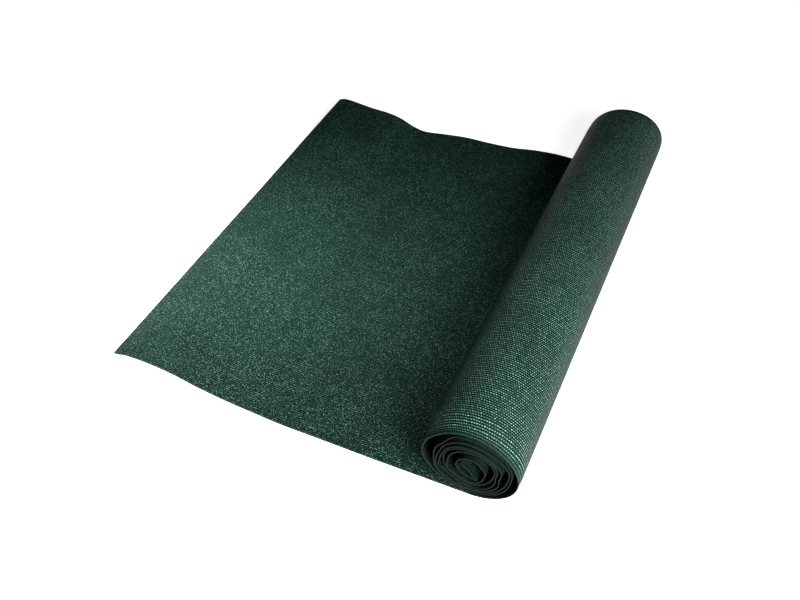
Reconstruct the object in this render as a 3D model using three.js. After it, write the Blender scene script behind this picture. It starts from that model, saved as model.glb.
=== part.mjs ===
// A length of knitted shade cloth, loosely rolled up, with its free end laid out flat.
// Units are millimetres. The roll lies along +Y, the free end runs towards -X, +Z is up.
// The cloth is one piece, so it is one solid: a thin wall that starts in the flattened fold
// at the roll's core, winds outwards, passes under the roll and ends at the raised free edge.

import * as THREE from "three";
import { mergeVertices } from "three/addons/utils/BufferGeometryUtils.js";

// Driving dimensions
const CLOTH_WIDTH = 920;
const CLOTH_THICKNESS = 1.6;
const ROLL_RADIUS_NEAR = 80.5;
const ROLL_RADIUS_FAR = 81;
const ROLL_SKEW = 30;            // how far the roll's axis drifts towards +X over the cloth's width
const FAR_RIM_LENGTH = 30;
const FAR_RIM_FULLNESS = 0.85;   // how much of the roll's full bulge the far rim keeps
const CORE_X = 2;                // the turns are measured from this point of the near end
const CORE_Z = 66;
const COLOUR = 0x24503f;

// The turns at the near end, outermost first. Each turn is read in sixteen directions from the
// ground up the right side, over the top and down the left: reach is its distance from the core
// point, nearOut and farOut are how far its two cut sides stand out past the cloth's width line.
const DIRECTIONS = 16;
const TURNS = [
  {
    reach: [65.2, 66.6, 69.8, 73.3, 75.8, 76.4, 77, 79, 81.6, 82.2, 80.2, 79.3, 76.8, 70, 64.9, 62],
    nearOut: 0, farOut: 0, steps: 26,
  },
  {
    reach: [60.2, 60, 61, 62.3, 63.3, 68.5, 71, 72, 72.8, 72.3, 62.5, 60.9, 58.5, 60.5, 60, 57],
    nearOut: -1.5, farOut: 5, steps: 24,
  },
  {
    reach: [55, 55.5, 57, 57, 59.1, 63.8, 61.8, 60.3, 61.8, 61.5, 57.8, 53.3, 54.3, 57, 54.5, 51.5],
    nearOut: -2, farOut: 2, steps: 22,
  },
  {
    reach: [50, 50.5, 50, 50, 46.5, 52.5, 50.3, 50.3, 51, 52, 51, 48.2, 48, 48, 44, 44.5],
    nearOut: 0, farOut: 6, steps: 20,
  },
  {
    reach: [45, 47, 45.5, 43, 41, 45.1, 45.8, 45.6, 45.5, 46.4, 46.6, 45, 42.2, 40.5, 38.5, 38],
    nearOut: -1, farOut: 3, steps: 20,
  },
  {
    reach: [38, 38, 36.8, 35.6, 37.5, 41, 42.5, 41.5, 40.8, 40.8, 39.3, 37.1, 35.7, 37.3, 32.8, 32],
    nearOut: -2, farOut: -2, steps: 20,
  },
  {
    reach: [32.5, 31, 28, 25, 24.8, 23.5, 23, 26, 25.8, 26, 24.4, 23, 21.8, 21.5, 21, 20.5],
    nearOut: 0, farOut: 1, steps: 20,
  },
];
const LAST_TURN_LENGTH = 6.75;   // turns, so that the last one ends on its left side
const SEAM_START = 0.8;          // from this part of a turn on, a layer runs down onto the next one

// The outermost turn's far side stands out further over its right side, up to the top
const FAR_LEAN = 19;
const FAR_LEAN_END = 0.55;       // turns

// Length over which the near end is drawn in, in eight directions from the ground and back to it
const NEAR_RIM_LENGTHS = [16, 9, 11, 24, 42, 45, 45, 34, 16];

// The flattened fold inside the last turn, from the cloth's inner edge to that turn
const CORE_FOLD = [
  { x: -13.5, z: 76.2 },
  { x: -8, z: 71 },
  { x: -1.5, z: 65.5 },
  { x: 4, z: 59.5 },
  { x: 8.3, z: 52.5 },
  { x: 12.5, z: 48 },
  { x: 15, z: 45.3 },
  { x: 10, z: 44.8 },
  { x: 4, z: 46 },
  { x: -4, z: 48.5 },
  { x: -11, z: 53 },
  { x: -17.5, z: 58.5 },
];

// The laid stretch, from under the roll to the free edge: distance from the roll, the height
// of the underside at the near side, in the middle and at the far side, and how far the two
// sides are drawn in. Zero height is cloth that lies on the ground.
const LAID = [
  { along: 50, near: 0, middle: 0, far: 2, nearIn: -0.5, farIn: -2 },
  { along: 110, near: 0, middle: 0, far: 5, nearIn: -1, farIn: -2 },
  { along: 165, near: 0, middle: 0, far: 3, nearIn: -1.5, farIn: 0 },
  { along: 220, near: 0, middle: 0, far: 0, nearIn: -1.5, farIn: 7 },
  { along: 280, near: 0, middle: 0, far: 0, nearIn: -1.5, farIn: 10 },
  { along: 330, near: 1, middle: 0, far: 0, nearIn: -2, farIn: 10 },
  { along: 380, near: 5, middle: 0, far: 0, nearIn: -2, farIn: 17 },
  { along: 430, near: 10, middle: 0, far: 0, nearIn: -2, farIn: 26 },
  { along: 465, near: 15, middle: 3, far: 7, nearIn: -2, farIn: 26 },
  { along: 500, near: 22, middle: 9, far: 20, nearIn: -2, farIn: 24 },
  { along: 535, near: 31, middle: 17, far: 26, nearIn: -2, farIn: 23 },
  { along: 570, near: 36, middle: 25, far: 28, nearIn: -2, farIn: 23 },
  { along: 602, near: 37.5, middle: 30, far: 31, nearIn: -2, farIn: 22 },
  { along: 632, near: 36, middle: 32, far: 35, nearIn: -2, farIn: 22 },
  { along: 652, near: 30, middle: 31, far: 35, nearIn: -2, farIn: 22 },
  { along: 664, near: 26, middle: 28, far: 31, nearIn: 0, farIn: 24 },
];

// Places across the cloth's width where the section is worked out, near side to far side
const STATIONS = [0, 0.011, 0.026, 0.049, 0.13, 0.25, 0.38, 0.5, 0.62, 0.75, 0.87, 0.962, 1];
const FLOOR_CLEARANCE = 0.05;    // a height below this counts as lying on the ground
const MERGE_DISTANCE = 1e-4;     // points closer than this are one point

function mix(a, b, t) {
  return a + (b - a) * t;
}

function smooth(t) {
  const c = Math.min(Math.max(t, 0), 1);
  return c * c * (3 - 2 * c);
}

// A smooth curve through evenly spaced values, read at a fractional index
function through(values, position) {
  const last = values.length - 1;
  const i = Math.min(Math.floor(position), last - 1);
  const t = position - i;
  const a = values[Math.max(i - 1, 0)];
  const b = values[i];
  const c = values[i + 1];
  const d = values[Math.min(i + 2, last)];
  return b + 0.5 * t * (c - a + t * (2 * a - 5 * b + 4 * c - d + t * (3 * (b - c) + d - a)));
}

// How full the roll is at a place across its width: 0 is the near rim, 1 is the full roll
function fullness(turn, across) {
  const fromNear = across * CLOTH_WIDTH;
  const fromFar = (1 - across) * CLOTH_WIDTH;
  const length = through(NEAR_RIM_LENGTHS, (turn % 1) * (NEAR_RIM_LENGTHS.length - 1));
  const near = smooth(fromNear / length);
  const far = mix(FAR_RIM_FULLNESS, 1, smooth(fromFar / FAR_RIM_LENGTH));
  return Math.min(near, far);
}

// Distance from the core point to the full roll's round outside, in one direction
function fullReach(angle, radius) {
  const dx = Math.cos(angle);
  const dz = Math.sin(angle);
  const towards = dx * CORE_X + dz * (CORE_Z - radius);
  const apart = CORE_X ** 2 + (CORE_Z - radius) ** 2 - radius ** 2;
  return Math.sqrt(towards ** 2 - apart) - towards;
}

const LAYER_DISTANCES = TURNS.flatMap((turn) => turn.reach);
const OUTER_DISTANCES = LAYER_DISTANCES.slice(0, DIRECTIONS + 1);

// One point of the wound part: turn 0 is under the roll, and whole numbers are one turn inwards
function woundPoint(turn, across) {
  const angle = (turn - 0.25) * 2 * Math.PI;
  const layer = through(LAYER_DISTANCES, turn * DIRECTIONS);
  const outer = through(OUTER_DISTANCES, (turn % 1) * DIRECTIONS);
  const radius = mix(ROLL_RADIUS_NEAR, ROLL_RADIUS_FAR, across) - CLOTH_THICKNESS / 2;
  const seam = smooth(((turn % 1) - SEAM_START) / (1 - SEAM_START));
  const swell = mix(Math.max(fullReach(angle, radius) / outer, 1), 1, seam);
  const grown = layer * mix(1, swell, fullness(turn, across));
  const seat = CLOTH_THICKNESS / 2;
  return {
    x: ROLL_SKEW * across + CORE_X + grown * Math.cos(angle),
    z: Math.max(CORE_Z + grown * Math.sin(angle), seat),
  };
}

function sideOffsets(turn) {
  const row = TURNS[Math.min(Math.floor(turn), TURNS.length - 1)];
  const next = TURNS[Math.min(Math.floor(turn) + 1, TURNS.length - 1)];
  const t = smooth(turn % 1);
  const lean = turn < FAR_LEAN_END ? FAR_LEAN * Math.sin((Math.PI * turn) / FAR_LEAN_END) ** 2 : 0;
  return { near: mix(row.nearOut, next.nearOut, t), far: mix(row.farOut, next.farOut, t) + lean };
}

// The cloth's middle line at one station, from the inner edge to the free edge
function middleLine(across) {
  const line = [];
  const place = (x, z, nearOut, farOut) => {
    line.push(new THREE.Vector3(x, mix(-nearOut, CLOTH_WIDTH + farOut, across), z));
  };
  const core = sideOffsets(LAST_TURN_LENGTH);
  for (const point of CORE_FOLD) {
    place(ROLL_SKEW * across + point.x, point.z, core.near, core.far);
  }
  for (let row = TURNS.length - 1; row >= 0; row -= 1) {
    const steps = TURNS[row].steps;
    for (let step = steps - 1; step >= 0; step -= 1) {
      const turn = row + step / steps;
      if (turn <= LAST_TURN_LENGTH) {
        const point = woundPoint(turn, across);
        const side = sideOffsets(turn);
        place(point.x, point.z, side.near, side.far);
      }
    }
  }
  const start = woundPoint(0, across).x;
  for (const row of LAID) {
    const nearHalf = mix(row.near, row.middle, smooth(across * 2));
    const farHalf = mix(row.middle, row.far, smooth(across * 2 - 1));
    const lift = across < 0.5 ? nearHalf : farHalf;
    const raised = lift > FLOOR_CLEARANCE ? lift : 0;
    const x = start - row.along - ROLL_SKEW * across;
    place(x, CLOTH_THICKNESS / 2 + raised, -row.nearIn, -row.farIn);
  }
  return line;
}

// Both faces of the cloth, set off from its middle line by half its thickness
function faces(line) {
  const upper = [];
  const lower = [];
  line.forEach((point, i) => {
    const before = line[Math.max(i - 1, 0)];
    const after = line[Math.min(i + 1, line.length - 1)];
    const normal = new THREE.Vector3(before.z - after.z, 0, after.x - before.x).normalize();
    const half = CLOTH_THICKNESS / 2;
    upper.push(point.clone().addScaledVector(normal, -half));
    lower.push(point.clone().addScaledVector(normal, half));
  });
  return { upper, lower };
}

// Cloth whose middle line lies at seat height has its underside exactly on the ground
function seated(points) {
  for (const point of points) {
    if (point.z < FLOOR_CLEARANCE) {
      point.z = 0;
    }
  }
  return points;
}

function clothGeometry() {
  const sections = STATIONS.map((across) => {
    const { upper, lower } = faces(middleLine(across));
    return seated([...upper, ...lower.reverse()]);
  });
  const around = sections[0].length;
  const half = around / 2;
  const positions = sections.flatMap((section) => section.flatMap((p) => [p.x, p.y, p.z]));
  const triangles = [];
  const quad = (a, b, c, d) => triangles.push(a, c, b, a, d, c);
  for (let s = 0; s < sections.length - 1; s += 1) {
    for (let i = 0; i < around; i += 1) {
      const j = (i + 1) % around;
      quad(s * around + i, s * around + j, (s + 1) * around + j, (s + 1) * around + i);
    }
  }
  const end = (sections.length - 1) * around;
  for (let i = 0; i < half - 1; i += 1) {
    const opposite = around - 1 - i;
    quad(i, opposite, opposite - 1, i + 1);
    quad(end + i, end + i + 1, end + opposite - 1, end + opposite);
  }
  const geometry = new THREE.BufferGeometry();
  geometry.setAttribute("position", new THREE.Float32BufferAttribute(positions, 3));
  geometry.setIndex(triangles);
  return mergeVertices(geometry, MERGE_DISTANCE);
}

function shadeCloth() {
  const geometry = clothGeometry();
  geometry.computeBoundingBox();
  const box = geometry.boundingBox;
  geometry.translate(-(box.min.x + box.max.x) / 2, -(box.min.y + box.max.y) / 2, -box.min.z);
  geometry.computeVertexNormals();
  const material = new THREE.MeshStandardMaterial({ color: COLOUR, roughness: 0.7 });
  const mesh = new THREE.Mesh(geometry, material);
  mesh.name = "shade_cloth";
  return mesh;
}

const shadeClothRoll = new THREE.Group();
shadeClothRoll.add(shadeCloth());

export default shadeClothRoll;
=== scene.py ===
# %% [markdown]
# A rolled length of knitted shade cloth
#
# Shade cloth is sold by the metre: a dense knit of dark green polyethylene thread and flat tape,
# rolled up loosely. Here its free end lies flat on the ground, so one piece of cloth has to be a
# spiral, a round roll and an almost flat sheet at once.
#
# The frame holds the cloth as one plain solid. This lesson makes the finer cloth that is seen in
# its place, in metres and in the same coordinates: +Y runs along the roll, the free end lies
# towards -X, and the ground is at zero height.

# %% Load the frame
import math

import bpy
import numpy as np
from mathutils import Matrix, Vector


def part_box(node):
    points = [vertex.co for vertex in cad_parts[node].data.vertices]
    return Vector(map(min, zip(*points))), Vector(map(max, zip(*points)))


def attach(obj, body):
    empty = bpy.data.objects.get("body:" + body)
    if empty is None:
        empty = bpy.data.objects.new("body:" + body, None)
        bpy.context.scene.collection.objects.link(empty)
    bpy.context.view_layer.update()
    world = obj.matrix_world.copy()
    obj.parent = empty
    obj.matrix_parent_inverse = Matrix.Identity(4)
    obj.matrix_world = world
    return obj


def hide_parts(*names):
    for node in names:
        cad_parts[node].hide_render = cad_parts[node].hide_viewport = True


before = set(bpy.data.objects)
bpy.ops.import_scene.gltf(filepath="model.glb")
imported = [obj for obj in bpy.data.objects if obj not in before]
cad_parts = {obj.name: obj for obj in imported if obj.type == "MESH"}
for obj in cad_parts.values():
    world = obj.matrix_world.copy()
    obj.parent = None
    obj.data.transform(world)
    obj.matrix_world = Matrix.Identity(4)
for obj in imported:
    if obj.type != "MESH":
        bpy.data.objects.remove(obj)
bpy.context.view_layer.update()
cloth_low, cloth_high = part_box("shade_cloth")
print("the frame's cloth is", [round(v, 4) for v in cloth_high - cloth_low], "metres")

# %% [markdown]
# The camera comes first, because every fold is judged through it. It looks down at about 46
# degrees, over the near end of the roll and along it. Its place is given from the roll's near
# end: the point of the ground under the roll's axis, at the cloth's near edge.

# %% Camera
AXIS_FROM_RIGHT = 0.1105     # the roll's near axis, inside the solid's right side
EDGE_FROM_FRONT = 0.002      # the cloth's near edge line, behind the solid's front side
AXIS_X = cloth_high.x - AXIS_FROM_RIGHT
NEAR_Y = cloth_low.y + EDGE_FROM_FRONT
CAMERA_RIGHT, CAMERA_BACK, CAMERA_UP = 0.1633, 0.6335, 1.0912
CAMERA_TURN = 23.41          # degrees from the roll's direction towards the free end
CAMERA_TILT = 45.66          # degrees below the horizon
CAMERA_LENS = 35.6


def add_camera():
    place = (AXIS_X + CAMERA_RIGHT, NEAR_Y - CAMERA_BACK, CAMERA_UP)
    turn = (math.radians(90 - CAMERA_TILT), 0, math.radians(CAMERA_TURN))
    bpy.ops.object.camera_add(location=place, rotation=turn)
    camera = bpy.context.object
    camera.data.lens = CAMERA_LENS
    camera.data.sensor_width = 36
    return camera


bpy.ops.object.select_all(action="DESELECT")
bpy.context.scene.camera = add_camera()
print("camera at", [round(v, 3) for v in bpy.context.scene.camera.location])

# %% [markdown]
# A cloth can't be modelled from a box. It is described the way a maker would measure it: a table
# of the turns at the near end, a small table for the flattened fold in the core, and a table of
# heights for the laid stretch. The plain solid has these same sizes. Only two short lists are the
# fine cloth's own: the sharp creases at the near end and the soft folds of the laid stretch.

# %% Sizes of the cloth
MM = 0.001
CLOTH_WIDTH = 0.92
CLOTH_THICKNESS = 0.0016
ROLL_RADIUS_NEAR = 0.0805
ROLL_RADIUS_FAR = 0.0810
ROLL_SKEW = 0.03             # the roll's axis drifts towards +X over the cloth's width
FAR_RIM_LENGTH = 0.03
FAR_RIM_FULLNESS = 0.85      # how much of the roll's full bulge the far rim keeps
CORE_X = 0.002               # the turns are measured from this point of the near end
CORE_Z = 0.066

# Distance of each turn from the core point, in millimetres, in sixteen directions from the ground
# up the right side, over the top and down the left. The outermost turn comes first.
DIRECTIONS = 16
TURNS = np.array([
    (65.2, 66.6, 69.8, 73.3, 75.8, 76.4, 77.0, 79.0, 81.6, 82.2, 80.2, 79.3, 76.8, 70.0, 64.9, 62.0),
    (60.2, 60.0, 61.0, 62.3, 63.3, 68.5, 71.0, 72.0, 72.8, 72.3, 62.5, 60.9, 58.5, 60.5, 60.0, 57.0),
    (55.0, 55.5, 57.0, 57.0, 59.1, 63.8, 61.8, 60.3, 61.8, 61.5, 57.8, 53.3, 54.3, 57.0, 54.5, 51.5),
    (50.0, 50.5, 50.0, 50.0, 46.5, 52.5, 50.3, 50.3, 51.0, 52.0, 51.0, 48.2, 48.0, 48.0, 44.0, 44.5),
    (45.0, 47.0, 45.5, 43.0, 41.0, 45.1, 45.8, 45.6, 45.5, 46.4, 46.6, 45.0, 42.2, 40.5, 38.5, 38.0),
    (38.0, 38.0, 36.8, 35.6, 37.5, 41.0, 42.5, 41.5, 40.8, 40.8, 39.3, 37.1, 35.7, 37.3, 32.8, 32.0),
    (32.5, 31.0, 28.0, 25.0, 24.8, 23.5, 23.0, 26.0, 25.8, 26.0, 24.4, 23.0, 21.8, 21.5, 21.0, 20.5),
]) * MM
LAST_TURN_LENGTH = 6.75
SEAM_START = 0.8             # from this part of a turn on, a layer runs down onto the next one

# Sharp creases in the turns: the turn, how far it juts out, and its reach before and after
CREASES = [
    (3.800, 5.0 * MM, 0.022, 0.008),
    (6.285, 1.5 * MM, 0.020, 0.012),
    (4.350, 1.2 * MM, 0.020, 0.020),
]

# How far each turn's two cut sides stand out past the cloth's width line, in millimetres
NEAR_OUT = np.array([0, -1.5, -2, 0, -1, -2, 0]) * MM
FAR_OUT = np.array([0, 5, 2, 6, 3, -2, 1]) * MM
FAR_LEAN = 0.019             # the outermost turn's far side stands out further over its right side
FAR_LEAN_END = 0.55          # turns

# Length over which the near end is drawn in, in eight directions from the ground and back to it
NEAR_RIM_LENGTHS = np.array([16, 9, 11, 24, 42, 45, 45, 34, 16]) * MM

# The flattened fold inside the last turn, from the cloth's inner edge: x and z, in millimetres
CORE_FOLD = np.array([
    (-13.5, 76.2), (-8, 71), (-1.5, 65.5), (4, 59.5), (8.3, 52.5), (12.5, 48),
    (15, 45.3), (10, 44.8), (4, 46), (-4, 48.5), (-11, 53), (-17.5, 58.5),
]) * MM

# The laid stretch, in millimetres: distance from the roll, height of the underside at the near
# side, in the middle and at the far side, and how far the two sides are drawn in
LAID_COLUMNS = "along near middle far near_in far_in".split()
LAID = np.array([
    (0, 0, 0, 0, 0, 0),
    (50, 0, 0, 2, -0.5, -2),
    (110, 0, 0, 5, -1, -2),
    (165, 0, 0, 3, -1.5, 0),
    (220, 0, 0, 0, -1.5, 7),
    (280, 0, 0, 0, -1.5, 10),
    (330, 1, 0, 0, -2, 10),
    (380, 5, 0, 0, -2, 17),
    (430, 10, 0, 0, -2, 26),
    (465, 15, 3, 7, -2, 26),
    (500, 22, 9, 20, -2, 24),
    (535, 31, 17, 26, -2, 23),
    (570, 36, 25, 28, -2, 23),
    (602, 37.5, 30, 31, -2, 22),
    (632, 36, 32, 35, -2, 22),
    (652, 30, 31, 35, -2, 22),
    (664, 26, 28, 31, 0, 24),
]) * MM

# Soft folds of the laid stretch, in millimetres: start and end (each a distance from the roll and
# one across the width), width of one flank, and depth. A negative depth is a ridge.
SOFT_FOLDS = np.array([
    (588, 460, 580, 240, 8, 3.0),
    (572, 470, 566, 230, 9, -1.6),
    (556, 20, 505, 170, 9, 2.4),
    (612, 850, 560, 770, 6, 3.0),
    (590, 880, 545, 800, 6, -2.2),
    (575, 700, 540, 560, 14, 2.0),
    (470, 60, 380, 330, 22, -2.4),
    (340, 905, 352, 770, 7, -2.6),
    (300, 620, 350, 420, 26, -1.6),
    (240, 90, 330, 300, 20, -1.2),
]) * MM
print(len(TURNS), "turns and", len(LAID), "places along the laid stretch")

# %% [markdown]
# Between the rows of a table the cloth runs in a smooth curve. One function reads a column at
# any place between its rows, and another one gives the soft step that blends a rim into the
# round of the roll. The line that is printed reads halfway between the 2 and the 4.

# %% Curves through a table


def mix(a, b, t):
    return a + (b - a) * t


def soft_step(t):
    c = np.clip(t, 0, 1)
    return c * c * (3 - 2 * c)


def through(values, place):
    """A smooth curve through evenly spaced values, read at a fractional index."""
    values = np.asarray(values, float)
    last = len(values) - 1
    i = np.clip(np.floor(place).astype(int), 0, last - 1)
    t = place - i
    a = values[np.maximum(i - 1, 0)]
    b = values[i]
    c = values[i + 1]
    d = values[np.minimum(i + 2, last)]
    return b + 0.5 * t * (c - a + t * (2 * a - 5 * b + 4 * c - d + t * (3 * (b - c) + d - a)))


print("halfway between 2 and 4 the curve reads", through([1, 2, 4, 5], np.array([1.5])))

# %% [markdown]
# The wound part is a spiral. A turn is counted from the ground, up the right side, over the top
# and down the left, so turn 0 lies under the roll and turn 2.5 is at the top of the third layer.
# Away from the rim the roll is a clean round, and each layer swells with it. Just before a turn
# ends, it has to run down onto the layer below it, so there the swelling fades out.

# %% The wound part
CREASE_LENGTH = 0.03
LAYER_DISTANCES = TURNS.ravel()
OUTER_DISTANCES = LAYER_DISTANCES[:DIRECTIONS + 1]


def fullness(turn, across):
    """How full the roll is across the cloth's width: 0 at the near rim, 1 for the full roll."""
    length = through(NEAR_RIM_LENGTHS, (turn % 1) * (len(NEAR_RIM_LENGTHS) - 1))
    near = soft_step(across * CLOTH_WIDTH / length)
    far = mix(FAR_RIM_FULLNESS, 1, soft_step((1 - across) * CLOTH_WIDTH / FAR_RIM_LENGTH))
    return np.minimum(near, far)


def full_reach(angle, radius):
    """Distance from the core point to the full roll's round outside, in one direction."""
    towards = np.cos(angle) * CORE_X + np.sin(angle) * (CORE_Z - radius)
    apart = CORE_X ** 2 + (CORE_Z - radius) ** 2 - radius ** 2
    return np.sqrt(towards ** 2 - apart) - towards


def crease_height(turn):
    """How far the sharp creases move the cloth outwards at a turn."""
    height = np.zeros(np.shape(turn))
    for place, amount, before, after in CREASES:
        reach = np.where(turn < place, before, after)
        height = height + amount * np.exp(-np.abs(turn - place) / reach)
    return height


def wound_point(turn, across):
    angle = (turn - 0.25) * 2 * math.pi
    crease = crease_height(turn) * (1 - soft_step(across * CLOTH_WIDTH / CREASE_LENGTH))
    layer = through(LAYER_DISTANCES, turn * DIRECTIONS) + crease
    outer = through(OUTER_DISTANCES, (turn % 1) * DIRECTIONS)
    radius = mix(ROLL_RADIUS_NEAR, ROLL_RADIUS_FAR, across) - CLOTH_THICKNESS / 2
    seam = soft_step((turn % 1 - SEAM_START) / (1 - SEAM_START))
    swell = mix(np.maximum(full_reach(angle, radius) / outer, 1), 1, seam)
    grown = layer * mix(1, swell, fullness(turn, across))
    x = ROLL_SKEW * across + CORE_X + grown * np.cos(angle)
    z = np.maximum(CORE_Z + grown * np.sin(angle), CLOTH_THICKNESS / 2)
    return x, z


def side_offset(turn, values):
    """How far a cut side stands out past the cloth's width line, at a turn."""
    row = np.minimum(np.floor(turn).astype(int), len(values) - 1)
    following = np.minimum(row + 1, len(values) - 1)
    return mix(values[row], values[following], soft_step(turn % 1))


def far_lean(turn):
    lean = FAR_LEAN * np.sin(math.pi * turn / FAR_LEAN_END) ** 2
    return np.where(turn < FAR_LEAN_END, lean, 0)


print("the roll's top at mid width is at", wound_point(np.array([0.5]), np.array([0.5]))[1])

# %% [markdown]
# The cloth is a grid of points: rows across its width, columns along its length. The columns run
# from the inner edge through the core fold, round all the turns and out to the free edge, about
# five millimetres apart on the roll and seven and a half on the ground. The rows lie close
# together near the two rims, where the layers show.

# %% The grid of the cloth
WOUND_STEP = 0.0052
LAID_STEP = 0.0075
CORE_COLUMNS = 25
RIM_ZONE = 0.06              # rows lie close together this far in from both sides
NEAR_ROW_STEP = 0.003
MIDDLE_ROW_STEP = 0.0145
FAR_ROWS = 10


def columns_inside():
    """Places along the core fold, as fractional rows of its table, inner edge first."""
    return np.linspace(0, len(CORE_FOLD) - 1, CORE_COLUMNS + 1)[:-1]


def columns_wound():
    """Places along the spiral, in turns, from the last turn to the ground."""
    places = [LAST_TURN_LENGTH]
    while places[-1] > 0:
        reach = through(LAYER_DISTANCES, np.array([places[-1] * DIRECTIONS]))[0]
        places.append(places[-1] - WOUND_STEP / (2 * math.pi * reach))
    return np.array(places[:-1])


def columns_laid():
    """Distances from the roll along the ground, as fractional rows of the laid table."""
    rows = []
    for i in range(len(LAID) - 1):
        count = max(round((LAID[i + 1, 0] - LAID[i, 0]) / LAID_STEP), 1)
        rows.extend(i + k / count for k in range(count))
    return np.array(rows + [len(LAID) - 1])


def rows_across():
    """Places across the width, 0 at the near side and 1 at the far side."""
    near = np.arange(0, RIM_ZONE, NEAR_ROW_STEP)
    middle = np.arange(RIM_ZONE, CLOTH_WIDTH - RIM_ZONE, MIDDLE_ROW_STEP)
    far = np.linspace(CLOTH_WIDTH - RIM_ZONE, CLOTH_WIDTH, FAR_ROWS)
    return np.concatenate([near, middle, far]) / CLOTH_WIDTH


across_rows = rows_across()
print(len(columns_inside()) + len(columns_wound()) + len(columns_laid()), "columns,",
      len(across_rows), "rows")

# %% [markdown]
# Everything comes together in one function of a place across the width. It gives the whole
# middle line of the cloth at that place, and the sheet is those lines side by side. A soft fold is
# a rounded trough along a straight line, which fades out towards both of its ends.

# %% The middle surface
FOLD_FADE = 0.3              # part of a soft fold's length over which each end fades out


def fold_height(along, across):
    """How far the soft folds raise the laid cloth, at distances from the roll."""
    height = np.zeros(len(along))
    for start_x, start_y, end_x, end_y, flank, depth in SOFT_FOLDS:
        run = np.array([end_x - start_x, end_y - start_y])
        length = np.linalg.norm(run)
        from_x = along - start_x
        from_y = across * CLOTH_WIDTH - start_y
        part = (from_x * run[0] + from_y * run[1]) / length ** 2
        aside = (from_x * run[1] - from_y * run[0]) / length
        ends = soft_step(part / FOLD_FADE + 0.5) * soft_step((1 - part) / FOLD_FADE + 0.5)
        height = height - depth * ends * np.exp(-(aside / flank) ** 2)
    return height


def laid_line(place, across):
    column = {name: through(LAID[:, i], place) for i, name in enumerate(LAID_COLUMNS)}
    near_half = mix(column["near"], column["middle"], soft_step(across * 2))
    far_half = mix(column["middle"], column["far"], soft_step(across * 2 - 1))
    lift = np.where(across < 0.5, near_half, far_half) + fold_height(column["along"], across)
    lift = np.maximum(lift, 0)
    start, _ = wound_point(np.array([0.0]), across)
    x = start - column["along"] - ROLL_SKEW * across
    return x, CLOTH_THICKNESS / 2 + lift, -column["near_in"], -column["far_in"]


def middle_line(across):
    inside = columns_inside()
    wound = columns_wound()
    core_near = side_offset(np.array([LAST_TURN_LENGTH]), NEAR_OUT)
    core_far = side_offset(np.array([LAST_TURN_LENGTH]), FAR_OUT)
    core_x = ROLL_SKEW * across + through(CORE_FOLD[:, 0], inside)
    core_z = through(CORE_FOLD[:, 1], inside)
    wound_x, wound_z = wound_point(wound, across)
    laid_x, laid_z, laid_near, laid_far = laid_line(columns_laid(), across)
    wound_near = side_offset(wound, NEAR_OUT)
    wound_far = side_offset(wound, FAR_OUT) + far_lean(wound)
    near = np.concatenate([np.full(len(inside), core_near), wound_near, laid_near])
    far = np.concatenate([np.full(len(inside), core_far), wound_far, laid_far])
    x = np.concatenate([core_x, wound_x, laid_x])
    z = np.concatenate([core_z, wound_z, laid_z])
    y = mix(-near, CLOTH_WIDTH + far, across)
    return np.stack([x + AXIS_X, y + NEAR_Y, z], 1)


surface = np.stack([middle_line(np.array([across])) for across in across_rows])
print("the middle surface has", surface.shape[0] * surface.shape[1], "points")

# %% [markdown]
# The grid becomes a mesh, with a map that unrolls it: the map's U is the distance along the cloth
# and V the distance across it, both in metres. The knit is drawn on that map, so its lines follow
# every turn of the roll as real threads do. Solidify then gives the sheet its thickness. It keeps
# the old faces first, which is how the two sides of the knit are told apart.

# %% Cloth mesh
KNIT_MAP = "Unrolled"
SIDE_MARK = "loop_side"
SMOOTH_ANGLE = 50            # degrees; faces that meet more steeply are shaded with a sharp edge


def distance_along(points):
    """Distance along the cloth from its inner edge, averaged over the width."""
    steps = np.linalg.norm(np.diff(points, axis=1), axis=2).mean(0)
    return np.concatenate([[0], np.cumsum(steps)])


def add_cloth(points):
    rows, columns = points.shape[:2]
    faces = []
    for r in range(rows - 1):
        for c in range(columns - 1):
            corner = r * columns + c
            faces.append((corner, corner + 1, corner + columns + 1, corner + columns))
    mesh = bpy.data.meshes.new("knitted_cloth")
    mesh.from_pydata(points.reshape(-1, 3).tolist(), [], faces)
    along = distance_along(points)
    layer = mesh.uv_layers.new(name=KNIT_MAP)
    corner_points = np.empty(len(mesh.loops), int)
    mesh.loops.foreach_get("vertex_index", corner_points)
    u = along[corner_points % columns]
    v = across_rows[corner_points // columns] * CLOTH_WIDTH
    layer.data.foreach_set("uv", np.stack([u, v], 1).ravel())
    cloth = bpy.data.objects.new("cloth", mesh)
    bpy.context.collection.objects.link(cloth)
    bpy.context.view_layer.objects.active = cloth
    cloth.select_set(True)
    return cloth, along[-1]


def thicken(sheet, one_side):
    """Gives the sheet its thickness and marks its faces: 1 on the loop side, 0 on the tape side."""
    shell = sheet.modifiers.new("thickness", "SOLIDIFY")
    shell.thickness = CLOTH_THICKNESS
    shell.offset = 0
    bpy.ops.object.modifier_apply(modifier=shell.name)
    sides = np.full(len(sheet.data.polygons), 0.5)
    sides[:one_side] = 1
    sides[one_side:2 * one_side] = 0
    mark = sheet.data.attributes.new(SIDE_MARK, "FLOAT", "FACE")
    mark.data.foreach_set("value", sides)


bpy.ops.object.select_all(action="DESELECT")
cloth, cloth_length = add_cloth(surface)
thicken(cloth, len(cloth.data.polygons))
bpy.ops.object.shade_smooth_by_angle(angle=math.radians(SMOOTH_ANGLE))
print("the cloth is", round(cloth_length, 3), "metres long and has", len(cloth.data.polygons), "faces")

# %% [markdown]
# A finish is a network of nodes. To write it as sums, each output of a node is wrapped in a small
# class with its own +, -, * and /, and one method adds any other node.

# %% Shader sums


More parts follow.
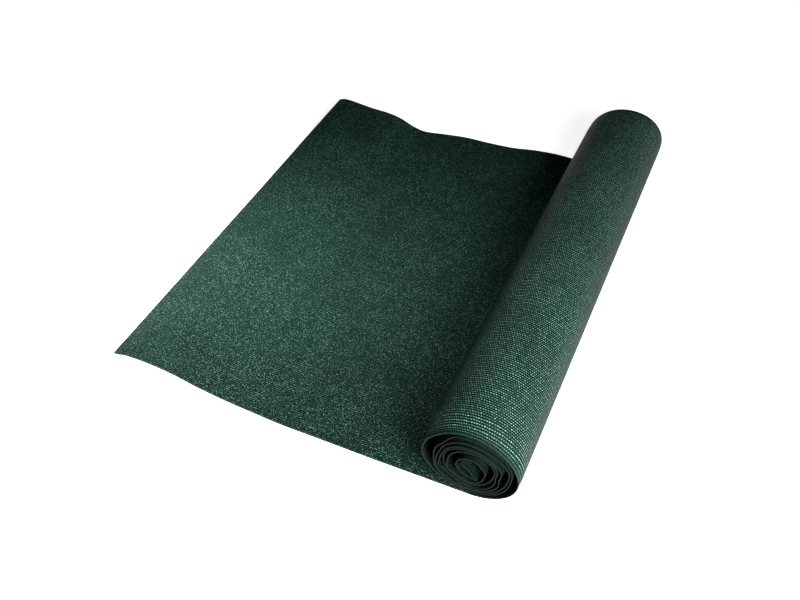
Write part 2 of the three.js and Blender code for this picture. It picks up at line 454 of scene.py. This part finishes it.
class Wire:
    """The output of a node, or a plain number, that takes part in sums."""

    def __init__(self, finish, socket):
        self.finish = finish
        self.socket = socket

    def math(self, operation, *others):
        node = self.finish.nodes.new("ShaderNodeMath")
        node.operation = operation
        for place, value in enumerate((self, *others)):
            self.finish.feed(node.inputs[place], value)
        return Wire(self.finish, node.outputs[0])

    def __add__(self, other):
        return self.math("ADD", other)

    def __radd__(self, other):
        return self.math("ADD", other)

    def __sub__(self, other):
        return self.math("SUBTRACT", other)

    def __rsub__(self, other):
        return (self * -1).math("ADD", other)

    def __mul__(self, other):
        return self.math("MULTIPLY", other)

    def __rmul__(self, other):
        return self.math("MULTIPLY", other)

    def __truediv__(self, other):
        return self.math("DIVIDE", other)

    def fraction(self):
        return self.math("FRACT")

    def floor(self):
        return self.math("FLOOR")

    def size(self):
        return self.math("ABSOLUTE")

    def step(self, low, high):
        """0 up to low, 1 from high, soft in between. With low above high it falls instead."""
        return self.finish.add("ShaderNodeMapRange", {"interpolation_type": "SMOOTHSTEP"},
                               {"Value": self, "From Min": low, "From Max": high})


class Finish:
    """A material with its Principled shader, and short ways to add nodes to it."""

    def __init__(self, name):
        self.material = bpy.data.materials.new(name)
        self.material.use_nodes = True
        self.nodes = self.material.node_tree.nodes
        self.links = self.material.node_tree.links
        self.shader = self.nodes["Principled BSDF"]

    def feed(self, socket, value):
        if isinstance(value, Wire):
            self.links.new(value.socket, socket)
        else:
            socket.default_value = value

    def add(self, kind, settings=None, sockets=None, output=0):
        node = self.nodes.new(kind)
        for name, value in (settings or {}).items():
            setattr(node, name, value)
        for name, value in (sockets or {}).items():
            self.feed(node.inputs[name], value)
        return Wire(self, node.outputs[output])

    def blend(self, factor, first, second):
        """A colour between two colours."""
        node = self.nodes.new("ShaderNodeMix")
        node.data_type = "RGBA"
        for name, value in (("Factor_Float", factor), ("A_Color", first), ("B_Color", second)):
            self.feed(next(s for s in node.inputs if s.identifier == name), value)
        return Wire(self, next(s for s in node.outputs if s.identifier == "Result_Color"))


# %% [markdown]
# The knit has two sides, and both are drawn on one grid of stitches. Its lines run along the
# cloth every four millimetres, and a stitch is about as long as a line is wide. Every other line
# is heavier and sits half a stitch on. Slow noise bends the grid a little, because no knit runs
# quite straight, and no two stitches are alike, so each one gets its own chance from its place.

# %% The grid of stitches
RIB_PITCH = 0.0040
STITCH_PITCH = 0.00417
DRIFT_SCALE = 90             # waves of the noise to the metre
RIB_DRIFT = 0.3              # how far a line wanders aside, in ribs
STITCH_DRIFT = 0.6           # how far a stitch wanders along its line, in stitches


def noise(finish, place, scale, detail):
    return finish.add("ShaderNodeTexNoise", {}, {"Vector": place, "Scale": scale, "Detail": detail})


class Stitches:
    """Where a point lies on the cloth and in its own stitch, and that stitch's chance, 0 to 1."""

    def __init__(self, finish):
        self.place = finish.add("ShaderNodeUVMap", {"uv_map": KNIT_MAP})
        self.along = finish.add("ShaderNodeSeparateXYZ", {}, {"Vector": self.place})
        across = Wire(finish, self.along.socket.node.outputs[1])
        self.to_side = across.math("MINIMUM", CLOTH_WIDTH - across)
        drift = noise(finish, self.place, DRIFT_SCALE, 1) - 0.5
        rib = across / RIB_PITCH + drift * RIB_DRIFT
        line = rib.floor()
        self.off = rib - line - 0.5
        self.heavy = (line * 0.5).fraction() * 2
        course = self.along / STITCH_PITCH + self.heavy * 0.5 + drift * STITCH_DRIFT
        row = course.floor()
        self.up = course - row - 0.5
        number = finish.add("ShaderNodeCombineXYZ", {}, {"X": line, "Y": row})
        self.chance = finish.add("ShaderNodeTexWhiteNoise", {"noise_dimensions": "2D"},
                                 {"Vector": number})


print("the knit has", round(CLOTH_WIDTH / RIB_PITCH), "lines across and",
      round(cloth_length / STITCH_PITCH), "stitches along")

# %% [markdown]
# On the side that faces out of the roll, each stitch is a small loop over a chain of dark
# tape, and a second tape zigzags between the chains. The loops are a lighter green and carry a
# painted highlight of the glossy thread, and the gaps between the threads hold painted shade. The
# loops could be modelled, but there are far too many, so they are drawn and raised by bump. The
# painted highlight fades where the cloth is seen edge on. Towards both sides of the cloth the loops
# end in a plain selvedge.

# %% The loop side
# painted shade in the gaps between threads and inside the roll; also the dark end of the slow patches
SHADE_AND_PATCH_GREEN = (0.0006, 0.0030, 0.0022, 1)
TAPE_GREEN = (0.0135, 0.0720, 0.0500, 1)
# a lighter loop green together with a painted highlight of the glossy thread
LOOP_AND_HIGHLIGHT_GREEN = (0.50, 0.80, 0.68, 1)
LOOP_LENGTH_SQUARE = 0.12    # square of a loop's half length, in stitches
LOOP_WIDTH_SQUARE = 0.045    # square of its half width, in ribs
SELVEDGE_START = 0.010       # the loops fade out from here
SELVEDGE_END = 0.004         # to here, in metres from the cloth's sides


def loop_side(finish, knit):
    """The colour of the loop side, where its loops lie, and how high its tapes lie."""
    oval = (knit.up * knit.up) / LOOP_LENGTH_SQUARE + (knit.off * knit.off) / LOOP_WIDTH_SQUARE
    loop = oval.step(0.95, 0.2)
    chain = knit.off.size().step(0.34, 0.10)
    zigzag = (knit.up.size() * 2 - 0.5 - knit.off).size().step(0.30, 0.06)
    thread = chain * 0.45 + zigzag * 0.35
    # painted shade between the threads, where no thread lies
    ground = finish.blend(thread, SHADE_AND_PATCH_GREEN, TAPE_GREEN)
    facing = finish.add("ShaderNodeLayerWeight", {}, {"Blend": 0.5}, output=1)
    # painted highlight on the loops, faded by Layer Weight where the cloth is seen edge on
    loop_highlight = loop * (0.35 + knit.heavy * 0.3) * (0.2 + knit.chance * 0.9) * facing.step(0.9, 0.55)
    inside = knit.to_side.step(SELVEDGE_END, SELVEDGE_START)
    return finish.blend(loop_highlight * inside, ground, LOOP_AND_HIGHLIGHT_GREEN), loop, thread


# %% [markdown]
# The other side faces up on the ground. It shows flat tape in low ridges, with painted shade in
# the gaps between them and small bright flecks, painted glints where the tape catches the light.

# %% The tape side
FLAT_GREEN = (0.0025, 0.0190, 0.0131, 1)
# colour of the painted glints on the tape
GLINT_GREEN = (0.120, 0.235, 0.190, 1)
FLECK_SCALE = 460            # flecks to the metre


def tape_side(finish, knit, fleck):
    ridge = knit.off.size().step(0.48, 0.20)
    # painted glints on the tape ridges
    glint = fleck.step(0.52, 0.60) * (0.15 + knit.chance * 0.85) * ridge
    tape = finish.blend(glint, FLAT_GREEN, GLINT_GREEN)
    # painted shade in the gaps between the ridges and in the low flecks
    gap_shade = (1 - ridge) * (0.5 + knit.heavy * 0.5) + fleck.step(0.48, 0.38) * 0.5
    return finish.blend(gap_shade, tape, SHADE_AND_PATCH_GREEN)


# %% [markdown]
# The finish joins both sides. Slow darker patches break up the even colour, the cut thickness
# along the two sides is a paler green, and the layers inside the roll are darker, because less
# light gets there.

# %% Knitted finish
EDGE_GREEN = (0.030, 0.056, 0.046, 1)
PATCH_SCALE = 9              # patches to the metre
PATCH_DARKNESS = 0.25
INSIDE_DARKNESS = 0.78
INSIDE_FADE = 0.02           # metres of cloth over which the dark inside sets in
KNIT_HEIGHT = 0.001
PLASTIC_ROUGHNESS = 0.6
LOOP_POLISH = 0.2            # the loops are smoother than the tape by this much
PLASTIC_IOR = 1.15           # low, because a mirror-like edge would whiten a rough knit


def knitted_finish(inner_length, wound_length):
    finish = Finish("knitted polyethylene")
    knit = Stitches(finish)
    fleck = noise(finish, knit.place, FLECK_SCALE, 1)
    patch = noise(finish, knit.place, PATCH_SCALE, 3)
    loops, loop, thread = loop_side(finish, knit)
    side = finish.add("ShaderNodeAttribute", {"attribute_name": SIDE_MARK}, output=2)
    both = finish.blend(side, tape_side(finish, knit, fleck), loops)
    dusk = finish.blend(patch.step(0.35, 0.75) * PATCH_DARKNESS, both, SHADE_AND_PATCH_GREEN)
    cut = knit.to_side.step(0.0016, 0.0004) * fleck.step(0.46, 0.56)
    edge = finish.blend(cut, dusk, EDGE_GREEN)
    loop_inside = knit.along.step(inner_length + INSIDE_FADE, inner_length) * side
    tape_inside = knit.along.step(wound_length, wound_length - INSIDE_FADE) * (1 - side)
    colour = finish.blend((loop_inside + tape_inside) * INSIDE_DARKNESS, edge, SHADE_AND_PATCH_GREEN)
    height = thread + loop * 0.5 + (fleck - 0.5) * 0.6
    bump = finish.add("ShaderNodeBump", {},
                      {"Strength": 0.5, "Distance": KNIT_HEIGHT, "Height": height})
    finish.feed(finish.shader.inputs["Base Color"], colour)
    finish.feed(finish.shader.inputs["Roughness"], PLASTIC_ROUGHNESS - loop * LOOP_POLISH)
    finish.feed(finish.shader.inputs["Normal"], bump)
    finish.shader.inputs["IOR"].default_value = PLASTIC_IOR
    return finish.material


cloth.data.materials.clear()
columns_to_ground = len(columns_inside()) + len(columns_wound())
columns_to_outer = len(columns_inside()) + int(np.sum(columns_wound() > 1))
inner_length, wound_length = distance_along(surface)[[columns_to_outer, columns_to_ground]]
cloth.data.materials.append(knitted_finish(inner_length, wound_length))
print("inside the roll:", round(wound_length, 2), "m of cloth, with its last full turn from",
      round(inner_length, 2), "m on")
print("the finish has", len(cloth.data.materials[0].node_tree.nodes), "nodes")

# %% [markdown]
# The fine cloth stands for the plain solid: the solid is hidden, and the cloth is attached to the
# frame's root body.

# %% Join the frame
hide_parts("shade_cloth")
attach(cloth, "root")

# %% [markdown]
# The ground is a plain pale floor with a glow of its own, like a lit white backdrop. A large soft
# lamp stands to the right and in front, so the roll throws a soft dark band on the cloth beside it.
# A narrow soft lamp from the left brightens the free end, and a weak one hangs above.

# %% Floor and light
FLOOR_SIZE = 14
FLOOR_DROP = 0.0006          # the floor lies this far under the cloth, so the two never flicker
FLOOR_WHITE = (0.9, 0.9, 0.9, 1)
FLOOR_GLOW = 0.88


def add_floor():
    bpy.ops.mesh.primitive_plane_add(size=FLOOR_SIZE, location=(0, 0, -FLOOR_DROP))
    floor = bpy.context.object
    floor.name = "floor"
    finish = Finish("pale floor")
    finish.shader.inputs["Base Color"].default_value = FLOOR_WHITE
    finish.shader.inputs["Roughness"].default_value = 0.9
    finish.shader.inputs["Emission Color"].default_value = (1, 1, 1, 1)
    finish.shader.inputs["Emission Strength"].default_value = FLOOR_GLOW
    floor.data.materials.append(finish.material)


def add_lamp(name, place, target, size, power, spread=180):
    bpy.ops.object.light_add(type="AREA", location=place)
    lamp = bpy.context.object
    lamp.name = name
    lamp.data.shape = "SQUARE"
    lamp.data.size = size
    lamp.data.energy = power
    lamp.data.spread = math.radians(spread)
    towards = np.array(target, float) - np.array(place, float)
    lamp.rotation_euler = (
        math.atan2(math.hypot(towards[0], towards[1]), -towards[2]),
        0,
        math.atan2(towards[1], towards[0]) - math.pi / 2,
    )
    return lamp


def set_world(strength):
    world = bpy.data.worlds.new("studio")
    world.use_nodes = True
    background = world.node_tree.nodes["Background"]
    background.inputs["Color"].default_value = (1, 1, 1, 1)
    background.inputs["Strength"].default_value = strength
    bpy.context.scene.world = world


bpy.ops.object.select_all(action="DESELECT")
add_floor()
add_lamp("key", (1.09, -1.1, 0.9), (-0.1, -0.1, 0), 0.8, 55)
add_lamp("left", (-0.8, -0.25, 1.1), (-0.42, -0.25, 0), 0.4, 2.7, spread=40)
add_lamp("top", (-0.1, -0.15, 1.1), (-0.1, -0.15, 0), 0.5, 1.1, spread=60)
set_world(0.0)
bpy.context.scene.view_settings.view_transform = "Standard"
